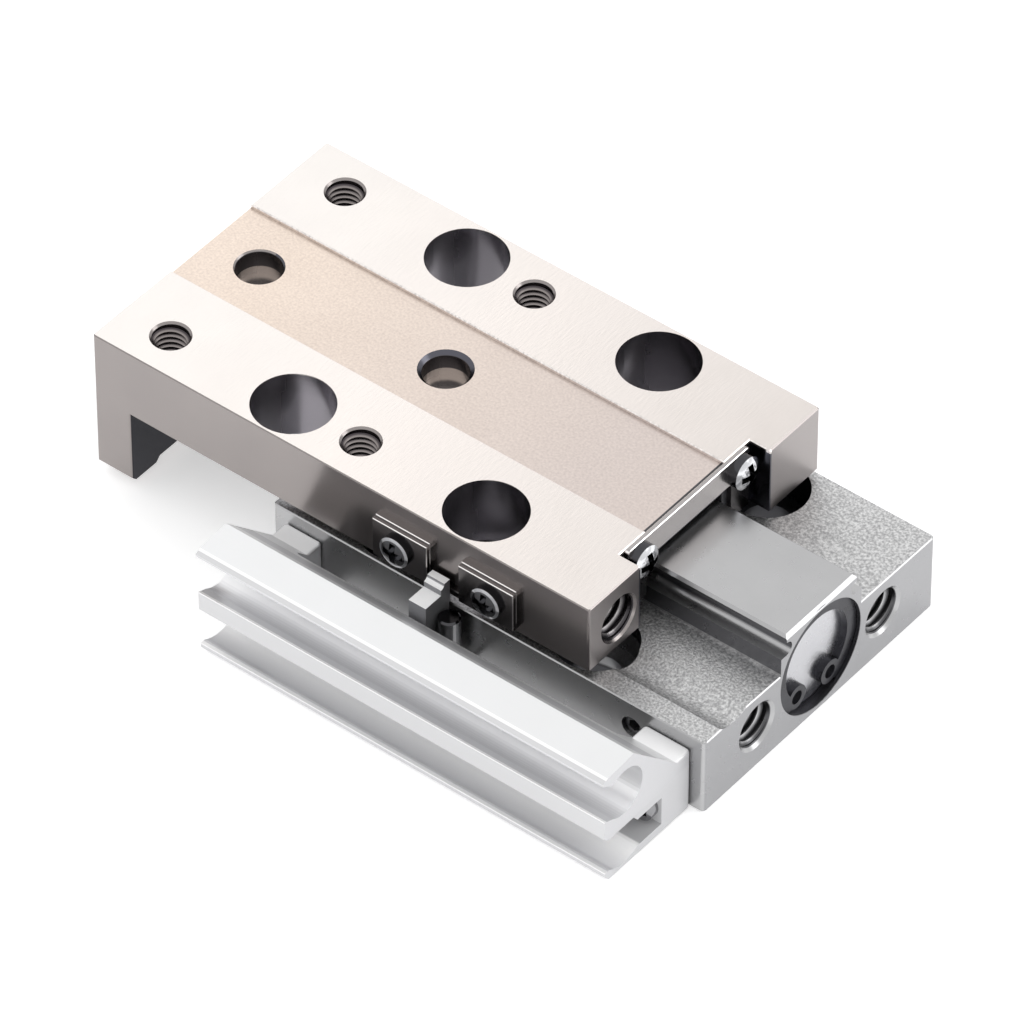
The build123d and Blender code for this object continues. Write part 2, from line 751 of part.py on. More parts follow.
    # Rod bolt hole and nut pocket in the leg
    with Locations(Plane(origin=(table_rod_x, 0, bore_height), z_dir=(-1, 0, 0))):
        CounterBoreHole(
            rod_bolt_hole_diameter / 2, nut_pocket_diameter / 2, nut_pocket_depth, depth=leg_thickness
        )

    # Threads for the clamp plates' screws in the near side
    clamp_thread_depth = clamp_screw_length - bracket_thickness - clamp_plate_thickness + seat_gap
    with Locations(Plane.XZ.offset(table_side_y)):
        with Locations((clamp_x, clamp_screw_height)):
            with GridLocations(clamp_screw_pitch, 1, 2, 1):
                Hole(screw_diameter / 2, depth=clamp_thread_depth)
export(table.part, "table")


# End plates: one that bridges the rail at the head end, and one on each side of it at the rod end
with BuildPart() as head_end_plate:
    with BuildSketch(Plane.YZ.offset(notch_x)):
        with Locations((0, end_plate_bottom)):
            Rectangle(end_plate_width, table_top - end_plate_bottom, align=(Align.CENTER, Align.MIN))
            Rectangle(
                end_plate_opening,
                head_plate_bar_bottom - end_plate_bottom,
                align=(Align.CENTER, Align.MIN),
                mode=Mode.SUBTRACT,
            )
        with Locations((0, head_plate_screw_height)):
            with GridLocations(2 * head_plate_screw_offset, 1, 2, 1):
                Circle(screw_diameter / 2 + seat_gap, mode=Mode.SUBTRACT)
    extrude(amount=end_plate_thickness)
    plate_corners = head_end_plate.edges().filter_by(Axis.X).group_by(Axis.Z)
    fillet(plate_corners[1] + plate_corners[-1], end_plate_corner_radius)
    plate_top_edges = head_end_plate.faces().sort_by(Axis.Z)[-1].edges().filter_by(Axis.Y)
    chamfer(plate_top_edges, sheet_edge_break)
export(head_end_plate.part, "head_end_plate")

with BuildPart() as rod_end_plates:
    with BuildSketch(Plane.YZ.offset(rod_plate_x)):
        with Locations((0, end_plate_bottom)):
            Rectangle(rod_plate_width, rod_plate_top - end_plate_bottom, align=(Align.CENTER, Align.MIN))
            Rectangle(
                end_plate_opening,
                rod_plate_top - end_plate_bottom,
                align=(Align.CENTER, Align.MIN),
                mode=Mode.SUBTRACT,
            )
        with Locations((0, rod_plate_screw_height)):
            with GridLocations(2 * rod_plate_screw_offset, 1, 2, 1):
                Circle(screw_diameter / 2 + seat_gap, mode=Mode.SUBTRACT)
    extrude(amount=-end_plate_thickness)
export(rod_end_plates.part, "rod_end_plates")

end_screw = pan_screw(pan_head_diameter, pan_head_height, screw_diameter - 2 * seat_gap, screw_length)
with BuildPart() as end_plate_screws:
    head_seat_x = notch_x + end_plate_thickness
    rod_seat_x = rod_plate_x - end_plate_thickness
    for side in (-1, 1):
        head_screw_y = side * head_plate_screw_offset
        rod_screw_y = side * rod_plate_screw_offset
        with Locations(
            Plane(origin=(head_seat_x, head_screw_y, head_plate_screw_height), z_dir=(1, 0, 0)),
            Plane(origin=(rod_seat_x, rod_screw_y, rod_plate_screw_height), z_dir=(-1, 0, 0)),
        ):
            add(end_screw)
export(end_plate_screws.part, "end_plate_screws")

# Return guides: blocks beside the rail with a round turn for the balls
with BuildPart() as head_return_guide:
    with BuildSketch(Plane.YZ.offset(head_guide_x)):
        with Locations((0, guide_bottom)):
            Rectangle(guide_width, guide_top - guide_bottom, align=(Align.CENTER, Align.MIN))
            Rectangle(
                2 * tunnel_side_y,
                guide_top - guide_bottom,
                align=(Align.CENTER, Align.MIN),
                mode=Mode.SUBTRACT,
            )
            Rectangle(
                2 * tunnel_foot_y,
                tunnel_step_z - guide_bottom,
                align=(Align.CENTER, Align.MIN),
                mode=Mode.SUBTRACT,
            )
    extrude(amount=guide_depth)
    with BuildSketch(Plane.YZ.offset(notch_x)):
        with Locations((0, tunnel_top_z)):
            Rectangle(guide_width, guide_flange_step - tunnel_top_z, align=(Align.CENTER, Align.MIN))
            Rectangle(
                channel_width - 2 * guide_gap,
                channel_floor_z - tunnel_top_z,
                align=(Align.CENTER, Align.MIN),
            )
        with Locations((0, guide_top)):
            Rectangle(guide_width, guide_flange_step - guide_top, align=(Align.CENTER, Align.MIN))
            Rectangle(
                2 * tunnel_side_y,
                tunnel_top_z - guide_top,
                align=(Align.CENTER, Align.MIN),
                mode=Mode.SUBTRACT,
            )
    extrude(amount=-guide_flange_thickness)
    with Locations((head_guide_x, turn_y, ball_height), (head_guide_x, -turn_y, ball_height)):
        Torus(turn_radius, ball_track_radius, mode=Mode.SUBTRACT)
export(head_return_guide.part, "head_return_guide")

with BuildPart() as rod_return_guides:
    with BuildSketch(Plane.YZ.offset(rod_plate_x)):
        with Locations((0, guide_bottom)):
            Rectangle(guide_width, guide_top - guide_bottom, align=(Align.CENTER, Align.MIN))
            Rectangle(
                2 * tunnel_side_y,
                guide_top - guide_bottom,
                align=(Align.CENTER, Align.MIN),
                mode=Mode.SUBTRACT,
            )
            Rectangle(
                2 * tunnel_foot_y,
                tunnel_step_z - guide_bottom,
                align=(Align.CENTER, Align.MIN),
                mode=Mode.SUBTRACT,
            )
    extrude(amount=guide_depth)
    with Locations((rod_guide_x, turn_y, ball_height), (rod_guide_x, -turn_y, ball_height)):
        Torus(turn_radius, ball_track_radius, mode=Mode.SUBTRACT)
export(rod_return_guides.part, "rod_return_guides")

# Balls: the rows that carry the load, and the rows that return with one ball in each turn
row_length = head_guide_x - rod_guide_x
row_x = (head_guide_x + rod_guide_x) / 2
row_count = int((row_length - ball_diameter) / ball_pitch) + 1
with BuildPart() as load_balls:
    with Locations((row_x, 0, ball_height)):
        with GridLocations(ball_pitch, rail_width, row_count, 2):
            Sphere(ball_radius)
export(load_balls.part, "load_balls")

with BuildPart() as return_balls:
    with Locations((row_x, 0, ball_height)):
        with GridLocations(ball_pitch, 2 * return_row_offset, row_count, 2):
            Sphere(ball_radius)
        with GridLocations(row_length + 2 * turn_radius, 2 * turn_y, 2, 2):
            Sphere(ball_radius)
export(return_balls.part, "return_balls")

# Piston with its seal, wear ring and bumpers
spigot_radius = spigot_diameter / 2
nose_radius = piston_nose_diameter / 2
seal_floor_radius = piston_radius - seal_depth
wear_floor_radius = piston_radius - wear_ring_depth
with BuildPart() as piston:
    add(disc(piston_rod_x, piston_radius, piston_length))
    add(disc(rod_nose_x, nose_radius, head_nose_x - rod_nose_x))
    add(
        disc(seal_x - seal_width / 2, piston_radius, seal_width, hole=seal_floor_radius),
        mode=Mode.SUBTRACT,
    )
    add(
        disc(wear_ring_x - wear_ring_width / 2, piston_radius, wear_ring_width, hole=wear_floor_radius),
        mode=Mode.SUBTRACT,
    )
    add(disc(rod_nose_x, spigot_radius + fit_gap, head_nose_x - rod_nose_x), mode=Mode.SUBTRACT)
export(piston.part, "piston")

ring_radius = bore_radius - fit_gap
with BuildPart() as piston_seal:
    add(
        disc(
            seal_x - seal_width / 2 + seat_gap,
            ring_radius,
            seal_width - 2 * seat_gap,
            hole=seal_floor_radius + fit_gap,
        )
    )
    chamfer(piston_seal.edges().filter_by(GeomType.CIRCLE).sort_by(SortBy.RADIUS)[-2:], edge_break)
export(piston_seal.part, "piston_seal")
export(
    disc(
        wear_ring_x - wear_ring_width / 2 + seat_gap,
        ring_radius,
        wear_ring_width - 2 * seat_gap,
        hole=wear_floor_radius + fit_gap,
    ),
    "wear_ring",
)
with BuildPart() as piston_bumpers:
    add(disc(head_nose_x, bumper_diameter / 2, bumper_thickness))
    add(disc(rod_nose_x - bumper_thickness, bumper_diameter / 2, bumper_thickness, hole=rod_radius + fit_gap))
export(piston_bumpers.part, "piston_bumpers")

# Rod: bearing length, spigot in the piston and thread in the leg
rod_start_x = leg_face_x + washer_thickness
rod_tip_x = table_rod_x + edge_break
with BuildPart() as piston_rod:
    add(disc(rod_start_x, rod_radius, rod_nose_x - rod_start_x))
    add(disc(rod_nose_x, spigot_radius, head_nose_x - rod_nose_x))
    add(disc(rod_tip_x, rod_thread_diameter / 2, rod_start_x - rod_tip_x))
    chamfer(piston_rod.edges().group_by(Axis.X)[0], edge_break)
export(piston_rod.part, "piston_rod")

pocket_floor_x = table_rod_x + nut_pocket_depth
washer_hole = rod_thread_diameter / 2 + seat_gap
with BuildPart() as rod_washers:
    add(disc(pocket_floor_x - washer_thickness, washer_diameter / 2, washer_thickness, hole=washer_hole))
    add(disc(leg_face_x, washer_diameter / 2, washer_thickness, hole=washer_hole))
export(rod_washers.part, "rod_washers")

with BuildPart() as rod_nut:
    with BuildSketch(Plane.YZ.offset(pocket_floor_x - washer_thickness)):
        with Locations((0, bore_height)):
            RegularPolygon(nut_width / 2, 6, major_radius=False)
            Circle(washer_hole, mode=Mode.SUBTRACT)
    extrude(amount=-nut_thickness)
export(rod_nut.part, "rod_nut")

# Clamp plates over a thin bracket on the table's near side
with BuildPart() as clamp_plates:
    with BuildSketch(Plane.XZ.offset(-bracket_y)):
        with Locations((clamp_x, (clamp_plate_top + clamp_plate_bottom) / 2)):
            with GridLocations(clamp_plate_pitch, 1, 2, 1):
                Rectangle(clamp_plate_length, clamp_plate_top - clamp_plate_bottom)
        with Locations((clamp_x, clamp_screw_height)):
            with GridLocations(clamp_screw_pitch, 1, 2, 1):
                Circle(screw_diameter / 2 + seat_gap, mode=Mode.SUBTRACT)
    extrude(amount=clamp_plate_thickness)
    clamp_faces = clamp_plates.faces().filter_by(Axis.Y).group_by(Axis.Y)[0]
    chamfer(clamp_faces.edges().filter_by(GeomType.LINE), sheet_edge_break)
export(clamp_plates.part, "clamp_plates")

with BuildPart() as holder_bracket:
    with BuildSketch(Plane.XZ.offset(table_side_y)):
        with Locations((clamp_x, clamp_plate_bottom)):
            with GridLocations(clamp_plate_pitch, 1, 2, 1):
                Rectangle(
                    clamp_plate_length,
                    clamp_plate_top + bracket_rise - clamp_plate_bottom,
                    align=(Align.CENTER, Align.MIN),
                )
            Rectangle(clamp_plate_pitch, holder_top - clamp_plate_bottom, align=(Align.CENTER, Align.MIN))
        with Locations((clamp_x, clamp_screw_height)):
            with GridLocations(clamp_screw_pitch, 1, 2, 1):
                Circle(screw_diameter / 2 + seat_gap, mode=Mode.SUBTRACT)
    extrude(amount=bracket_thickness)
    bracket_face = holder_bracket.faces().filter_by(Axis.Y).sort_by(Axis.Y)[0]
    chamfer(bracket_face.edges().filter_by(GeomType.LINE), sheet_edge_break)
export(holder_bracket.part, "holder_bracket")

clamp_screw = pan_screw(
    clamp_head_diameter, clamp_head_height, screw_diameter - 2 * seat_gap, clamp_screw_length
)
with BuildPart() as clamp_plate_screws:
    with Locations(Plane.XZ.offset(-clamp_face_y)):
        with Locations((clamp_x, clamp_screw_height)):
            with GridLocations(clamp_screw_pitch, 1, 2, 1):
                add(clamp_screw)
export(clamp_plate_screws.part, "clamp_plate_screws")

# Magnet holder: a narrow block that hangs between the body and the switch rail, with a foot under the magnet
neck_y = -body_side_y - holder_body_gap
with BuildPart() as magnet_holder:
    with BuildSketch(Plane.YZ.offset(holder_x - holder_width / 2)):
        with BuildLine():
            Polyline(
                (bracket_y, holder_neck_height),
                (bracket_y, holder_top + holder_tab_height),
                (bracket_y - holder_tab_reach + holder_tab_radius, holder_top + holder_tab_height),
            )
            RadiusArc(
                (bracket_y - holder_tab_reach + holder_tab_radius, holder_top + holder_tab_height),
                (bracket_y - holder_tab_reach, holder_top + holder_tab_height - holder_tab_radius),
                holder_tab_radius,
            )
            Polyline(
                (bracket_y - holder_tab_reach, holder_top + holder_tab_height - holder_tab_radius),
                (bracket_y - holder_tab_reach, holder_top),
                (holder_y, holder_top),
                (holder_y, holder_bottom),
                (neck_y, holder_bottom),
                (neck_y, holder_neck_height),
                (bracket_y, holder_neck_height),
            )
        make_face()
    extrude(amount=holder_width)
    with BuildSketch(Plane.XY.offset(holder_bottom)):
        with Locations((holder_x, (holder_y + neck_y) / 2)):
            Rectangle(
                holder_width / 2 + seat_gap + magnet_diameter,
                neck_y - holder_y,
                align=(Align.MIN, Align.CENTER),
            )
    extrude(amount=holder_foot_height)
export(magnet_holder.part, "magnet_holder")

magnet_x = holder_x + holder_width / 2 + seat_gap + magnet_diameter / 2
with BuildPart() as magnet:
    with BuildSketch(Plane.XY.offset(holder_bottom + holder_foot_height)):
        with Locations((magnet_x, magnet_y)):
            Circle(magnet_diameter / 2)
    extrude(amount=magnet_length)
    chamfer(magnet.edges(), edge_break)
export(magnet.part, "magnet")
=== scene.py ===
# The looks of a compact pneumatic slide table: metal finishes, thread ridges, studio and camera.
import json
import math

import bmesh
import bpy
from mathutils import Matrix, Vector


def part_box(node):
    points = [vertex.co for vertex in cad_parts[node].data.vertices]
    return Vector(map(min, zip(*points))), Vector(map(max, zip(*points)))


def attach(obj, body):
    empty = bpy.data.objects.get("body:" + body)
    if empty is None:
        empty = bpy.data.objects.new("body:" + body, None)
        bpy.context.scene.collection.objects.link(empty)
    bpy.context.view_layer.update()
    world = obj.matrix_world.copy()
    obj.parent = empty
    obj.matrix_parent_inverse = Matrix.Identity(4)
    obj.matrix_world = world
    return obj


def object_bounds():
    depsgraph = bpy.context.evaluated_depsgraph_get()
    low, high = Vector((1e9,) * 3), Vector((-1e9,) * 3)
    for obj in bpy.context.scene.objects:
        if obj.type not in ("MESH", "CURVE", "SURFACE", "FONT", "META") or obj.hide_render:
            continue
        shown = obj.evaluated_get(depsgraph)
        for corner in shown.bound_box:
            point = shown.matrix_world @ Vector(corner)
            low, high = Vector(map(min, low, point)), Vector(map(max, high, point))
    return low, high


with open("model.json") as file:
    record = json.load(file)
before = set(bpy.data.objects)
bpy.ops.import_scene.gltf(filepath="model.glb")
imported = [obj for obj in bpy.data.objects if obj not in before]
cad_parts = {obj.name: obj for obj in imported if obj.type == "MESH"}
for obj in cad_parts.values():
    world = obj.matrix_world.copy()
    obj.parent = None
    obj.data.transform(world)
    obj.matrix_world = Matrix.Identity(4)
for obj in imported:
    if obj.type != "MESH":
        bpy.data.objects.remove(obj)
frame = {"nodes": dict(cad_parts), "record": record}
cad_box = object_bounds()

MM = 0.001
MOUNTS = {mount["name"]: mount for mount in frame["record"]["mounts"]}

# Camera: the direction from the object to the camera, the point it looks at, and its lens
CAMERA_AZIMUTH = math.radians(38.67)
CAMERA_ELEVATION = math.radians(43.91)
CAMERA_ROLL = math.radians(-0.05)
CAMERA_DISTANCE = 1.0196
CAMERA_TARGET = Vector((-11.87, 0.0, 3.66)) * MM
CAMERA_LENS = 350.94
CAMERA_REACH = 20.0
SENSOR_WIDTH = 36.0

# Studio
FLOOR_SIZE = 6.0
FLOOR_COLOUR = (0.9, 0.9, 0.9)
FLOOR_GLOW = 0.42
WORLD_ZENITH = 1.0
WORLD_HORIZON = 0.92
WORLD_ZENITH_HEIGHT = 0.7
LAMPS = (
    ("left_panel", (-0.55, 0.34, 0.44), 0.5, 0.38),
    ("rim_panel", (0.55, 0.45, 0.36), 0.4, 0.8),
)

# Threads: their pitches, the length of those in the table's face, and how far below a face they
# start; what a ridge sinks into its wall, and its shape and first turn in shares of the pitch;
# the turns over which each end grows to full depth, and the share of the depth that it starts with
M4_PITCH = 0.7 * MM
M5_PITCH = 0.8 * MM
M4_LENGTH = 6.2 * MM
FACE_THREAD_START = 0.1 * MM
HEAD_THREAD_START = 0.25 * MM
RIDGE_OVERLAP = 0.01 * MM
RIDGE_DEPTH = 0.5
RIDGE_HALF_ROOT = 0.44
RIDGE_HALF_CREST = 0.07
FIRST_TURN = 0.5
LEAD_TURNS = 0.6
LEAD_DEPTH = 0.04
TURN_SEGMENTS = 56

# Widths of the soft edges of the tones inside holes, in millimetres
WIDE_EDGE = 0.05
MIDDLE_EDGE = 0.03
NARROW_EDGE = 0.02

# In millimetres, the height of the bore's axis, and the pan heads of the table's visible screws:
# their centres in a plane, the axis that they look along, the top of the crown, how the crown
# falls away with the square of the distance from its middle, and where its wall starts
BORE_HEIGHT = 7.32
# Each set of heads also holds the colour of the painted shade on their walls
END_HEADS = {
    "plane": "YZ", "places": ((-8.2, 17.15), (8.2, 17.15)), "axis": "X", "sign": 1.0,
    "top": 12.58, "dome": 0.188, "rim": 1.86, "wall_shade": (0.07, 0.07, 0.075),
}
CLAMP_HEADS = {
    "plane": "XZ", "places": ((-10.85, 13.85), (0.85, 13.85)), "axis": "Y", "sign": -1.0,
    "top": 20.65, "dome": 0.108, "rim": 1.79, "wall_shade": (0.05, 0.05, 0.055),
}
HEAD_REACH = 2.1
HEAD_DEPTH = 1.8
RECESS_REACH = 1.34
RECESS_DEPTH = 1.6


class Finish:
    """A procedural material: short calls add its nodes. Positions are in millimetres."""

    def __init__(self, name, colour, metallic, roughness):
        self.material = bpy.data.materials.new(name)
        self.material.use_nodes = True
        self.tree = self.material.node_tree
        self.tree.nodes.clear()
        self.output = self.tree.nodes.new("ShaderNodeOutputMaterial")
        self.shader = self.tree.nodes.new("ShaderNodeBsdfPrincipled")
        self.tree.links.new(self.shader.outputs["BSDF"], self.output.inputs["Surface"])
        self.shader.inputs["Base Color"].default_value = (*colour, 1.0)
        self.shader.inputs["Metallic"].default_value = metallic
        self.shader.inputs["Roughness"].default_value = roughness
        self.coordinates = self.tree.nodes.new("ShaderNodeTexCoord")
        self.geometry = self.tree.nodes.new("ShaderNodeNewGeometry")
        self.normal = None

    def link(self, source, target):
        """Joins an output to an input, or sets the input to a number or colour."""
        if isinstance(source, bpy.types.NodeSocket):
            self.tree.links.new(source, target)
        else:
            target.default_value = source

    def noise(self, scale, detail=3.0, roughness=0.55, stretch=(1, 1, 1)):
        """Noise with about one patch per 1/scale metres."""
        mapping = self.tree.nodes.new("ShaderNodeMapping")
        mapping.inputs["Scale"].default_value = stretch
        self.link(self.coordinates.outputs["Object"], mapping.inputs["Vector"])
        node = self.tree.nodes.new("ShaderNodeTexNoise")
        node.inputs["Scale"].default_value = scale
        node.inputs["Detail"].default_value = detail
        node.inputs["Roughness"].default_value = roughness
        self.link(mapping.outputs["Vector"], node.inputs["Vector"])
        return node.outputs["Fac"]

    def math(self, operation, first, second=0.0):
        """One sum on two values."""
        node = self.tree.nodes.new("ShaderNodeMath")
        node.operation = operation
        self.link(first, node.inputs[0])
        self.link(second, node.inputs[1])
        return node.outputs["Value"]

    def spread(self, value, low, high, to_low=0.0, to_high=1.0):
        """Maps a value's range onto another range, and keeps it there."""
        node = self.tree.nodes.new("ShaderNodeMapRange")
        node.clamp = True
        self.link(value, node.inputs["Value"])
        self.link(low, node.inputs["From Min"])
        self.link(high, node.inputs["From Max"])
        self.link(to_low, node.inputs["To Min"])
        self.link(to_high, node.inputs["To Max"])
        return node.outputs["Result"]

    def mix(self, factor, first, second):
        """Blends two colours."""
        node = self.tree.nodes.new("ShaderNodeMix")
        node.data_type = "RGBA"
        self.link(factor, node.inputs["Factor"])
        for value, socket in ((first, node.inputs["A"]), (second, node.inputs["B"])):
            if isinstance(value, tuple):
                value = (*value, 1.0)
            self.link(value, socket)
        return node.outputs["Result"]

    def facing(self, letter, sign=1):
        """How far a face looks along an axis, from -1 to 1."""
        split = self.tree.nodes.new("ShaderNodeSeparateXYZ")
        self.link(self.geometry.outputs["True Normal"], split.inputs["Vector"])
        return self.math("MULTIPLY", split.outputs[letter], float(sign))

    def faces(self, letter, sign=1):
        """1 on faces that look along an axis, and 0 elsewhere."""
        return self.spread(self.facing(letter, sign), 0.75, 0.9)

    def at(self, letter):
        """One part of the object's own position."""
        split = self.tree.nodes.new("ShaderNodeSeparateXYZ")
        self.link(self.coordinates.outputs["Object"], split.inputs["Vector"])
        return self.math("MULTIPLY", split.outputs[letter], 1.0 / MM)

    def over(self, value, limit):
        """1 where a value is over a limit."""
        return self.math("GREATER_THAN", value, limit)

    def under(self, value, limit):
        """1 where a value is under a limit."""
        return self.math("LESS_THAN", value, limit)

    def above(self, letter, limit):
        """1 where the position along an axis is above a limit."""
        return self.over(self.at(letter), limit)

    def below(self, letter, limit):
        """1 where the position along an axis isn't above a limit."""
        return self.but(self.above(letter, limit))

    def both(self, *masks):
        """The overlap of two or more masks."""
        overlap = masks[0]
        for mask in masks[1:]:
            overlap = self.math("MULTIPLY", overlap, mask)
        return overlap

    def either(self, first, second):
        """The sum of two masks."""
        return self.math("MAXIMUM", first, second)

    def but(self, mask):
        """The rest of a mask."""
        return self.math("SUBTRACT", 1.0, mask)

    def apart(self, first, second):
        """The length of the two sides' diagonal."""
        squares = [self.math("POWER", side, 2.0) for side in (first, second)]
        return self.math("SQRT", self.math("ADD", *squares))

    def from_line(self, letters, places):
        """Distance from a line, given by the two coordinates that it keeps."""
        sides = [
            self.math("ABSOLUTE", self.math("SUBTRACT", self.at(letter), place))
            for letter, place in zip(letters, places)
        ]
        return self.apart(*sides)

    def from_holes(self, centre, half_x, half_y):
        """Distance from the nearest of four vertical holes on a grid."""
        along = self.math("ABSOLUTE", self.math("SUBTRACT", self.at("X"), centre))
        along = self.math("ABSOLUTE", self.math("SUBTRACT", along, half_x))
        across = self.math("ABSOLUTE", self.at("Y"))
        across = self.math("ABSOLUTE", self.math("SUBTRACT", across, half_y))
        return self.apart(along, across)

    def within(self, distance, reach, edge):
        """1 up to a distance, with a soft edge beyond it."""
        return self.spread(distance, reach + edge, reach)

    def bump(self, height, depth, strength=1.0):
        """Adds relief of a depth in millimetres."""
        node = self.tree.nodes.new("ShaderNodeBump")
        self.link(strength, node.inputs["Strength"])
        node.inputs["Distance"].default_value = depth * MM
        self.link(height, node.inputs["Height"])
        if self.normal is not None:
            self.link(self.normal, node.inputs["Normal"])
        self.normal = node.outputs["Normal"]
        self.link(self.normal, self.shader.inputs["Normal"])

    def colour(self, value):
        self.link(value, self.shader.inputs["Base Color"])

    def roughness(self, value):
        self.link(value, self.shader.inputs["Roughness"])

    def metallic(self, value):
        self.link(value, self.shader.inputs["Metallic"])


def mount_place(name):
    """A mount's place, in millimetres."""
    return [part / MM for part in MOUNTS[name]["pos_m"]]


def hole_grid(name):
    """The middle and half pitches of a mount with four holes, in millimetres."""
    dims = MOUNTS[name]["dims"]
    return mount_place(name)[0], dims["spacing_x_mm"] / 2, dims["spacing_y_mm"] / 2


def body_finish():
    """Aluminium block: shot blasted top, ground rail, milled ends and sides, with painted shade on the rail's
    sides and inside the counterbores, ports and the bore's recess.
    """
    rail_foot = 9.9
    blast_limit = 11.0
    counterbore_mouth = 9.5
    counterbore_reach = 4.55
    port_reach = 2.6
    port_crest, port_root = 2.1, 2.4
    recess_reach = 6.85
    head_limit = 27.62

    finish = Finish("body_finish", (0.5, 0.5, 0.5), 1.0, 0.3)
    blasted = finish.both(finish.faces("Z"), finish.below("Z", blast_limit))
    ends = finish.either(finish.faces("X"), finish.faces("X", -1))
    sides = finish.either(finish.faces("Y"), finish.faces("Y", -1))
    shaded_rail_sides = finish.both(sides, finish.above("Z", rail_foot))

    grain = finish.noise(3600.0, 2.0, 0.6)
    fine_grain = finish.noise(7000.0, 2.0, 0.5)
    patches = finish.noise(260.0, 3.0)
    marks = finish.noise(900.0, 3.0)

    plain = finish.mix(patches, (0.44, 0.44, 0.445), (0.49, 0.49, 0.495))
    speckled = finish.mix(finish.spread(grain, 0.36, 0.66), (0.37, 0.37, 0.375), (0.73, 0.73, 0.73))
    milled = finish.mix(patches, (0.335, 0.335, 0.345), (0.375, 0.375, 0.385))
    colour = finish.mix(ends, plain, milled)
    colour = finish.mix(blasted, colour, speckled)
    # Painted shade on the rail's sides
    colour = finish.mix(shaded_rail_sides, colour, (0.17, 0.17, 0.18))

    # Painted shade inside the counterbores, the ports and the bore's recess; in the ports it deepens from the
    # thread crests to the roots
    away = finish.from_holes(*hole_grid("body_mounting"))
    counterbores = finish.both(
        finish.within(away, counterbore_reach, WIDE_EDGE), finish.below("Z", counterbore_mouth)
    )
    colour = finish.mix(counterbores, colour, (0.14, 0.14, 0.15))
    inside = finish.below("X", head_limit)
    for name in ("near_port", "far_port"):
        away = finish.from_line("YZ", mount_place(name)[1:])
        port = finish.both(finish.within(away, port_reach, NARROW_EDGE), inside)
        depth = finish.spread(away, port_crest, port_root)
        colour = finish.mix(port, colour, finish.mix(depth, (0.55, 0.55, 0.56), (0.1, 0.1, 0.105)))
    away = finish.from_line("YZ", (0.0, BORE_HEIGHT))
    recess = finish.both(finish.within(away, recess_reach, WIDE_EDGE), inside)
    finish.colour(finish.mix(recess, colour, (0.1, 0.1, 0.11)))

    smooth = finish.spread(marks, 0.3, 0.7, 0.27, 0.3)
    finish.roughness(finish.math("ADD", smooth, finish.math("MULTIPLY", blasted, 0.14)))
    finish.bump(grain, 0.05, blasted)
    finish.bump(fine_grain, 0.015, blasted)
    return finish.material


def table_finish():
    """Nickel plated steel: ground lands, a beige blasted channel and plain milled sides, with painted shade
    in the holes, threads and unlit places, and painted light and shade along the lands and the channel.
    """
    land_limit = 18.9
    channel_limit = 18.5
    finish = Finish("table_finish", (0.5, 0.47, 0.45), 1.0, 0.25)
    up = finish.faces("Z")
    lands = finish.both(up, finish.above("Z", land_limit))
    channel = finish.both(up, finish.below("Z", land_limit), finish.above("Z", channel_limit))
    ends = finish.faces("X")

    patches = finish.noise(120.0, 4.0)
    strokes = finish.noise(1.0, 2.0, 0.6, stretch=(3600.0, 700.0, 900.0))
    grain = finish.noise(3600.0, 2.0, 0.6)

    colour = table_sides(finish, ends, patches, grain)
    colour = finish.mix(lands, colour, table_lands(finish, patches))
    colour = finish.mix(channel, colour, table_channel(finish, grain))
    colour = table_holes(finish, colour)
    finish.colour(table_threads(finish, colour))

    base = finish.spread(patches, 0.3, 0.7, 0.2, 0.27)
    base = finish.math("ADD", base, finish.math("MULTIPLY", ends, 0.12))
    finish.roughness(finish.math("ADD", base, finish.math("MULTIPLY", channel, 0.15)))
    finish.bump(strokes, 0.006, lands)
    finish.bump(grain, 0.012, channel)
    finish.bump(finish.noise(2200.0, 2.0), 0.0015)
    return finish.material


def table_sides(finish, ends, patches, grain):
    """Tones of the table's sides and ends, of its unlit places and of the channel's walls."""
    notch_half_width = 10.8
    notch_rod_end = -45.0
    leg_limit = -40.0
    wall_foot = 18.66
    side = finish.mix(patches, (0.285, 0.26, 0.255), (0.34, 0.31, 0.30))
    arm_end = finish.mix(patches, (0.34, 0.315, 0.31), (0.38, 0.35, 0.345))
    wall = finish.mix(finish.spread(grain, 0.35, 0.65), (0.7, 0.65, 0.63), (0.95, 0.9, 0.87))
    colour = finish.mix(ends, side, arm_end)

    # Unlit places: the notch, the tunnel and the leg's inner face
    middle = finish.but(finish.over(finish.math("ABSOLUTE", finish.at("Y")), notch_half_width))
    colour = finish.mix(finish.both(middle, finish.above("X", notch_rod_end)), colour, (0.11, 0.11, 0.13))
    inner_leg = finish.both(ends, finish.below("X", leg_limit))
    colour = finish.mix(inner_leg, colour, (0.035, 0.035, 0.042))
    return finish.mix(finish.both(middle, finish.above("Z", wall_foot)), colour, wall)


def table_lands(finish, patches):
    """The two ground lands, darkened towards the rod end by painted shade that tempers the left lamp's
    highlight.
    """
    rod_x, head_x = -48.0, -18.0
    shaded_land_rod = finish.mix(patches, (0.66, 0.63, 0.605), (0.70, 0.67, 0.645))
    land_head = finish.mix(patches, (0.71, 0.66, 0.625), (0.77, 0.72, 0.69))
    return finish.mix(finish.spread(finish.at("X"), rod_x, head_x), shaded_land_rod, land_head)


def table_channel(finish, grain):
    """The blasted channel, warmer towards the rod end and, by painted light, lighter there."""
    rod_x, head_x = -42.0, 0.0
    speckle = finish.spread(grain, 0.3, 0.7)
    lit_floor_rod = finish.mix(speckle, (0.66, 0.56, 0.49), (0.80, 0.69, 0.60))
    floor_head = finish.mix(speckle, (0.57, 0.50, 0.47), (0.68, 0.60, 0.56))
    return finish.mix(finish.spread(finish.at("X"), rod_x, head_x), lit_floor_rod, floor_head)


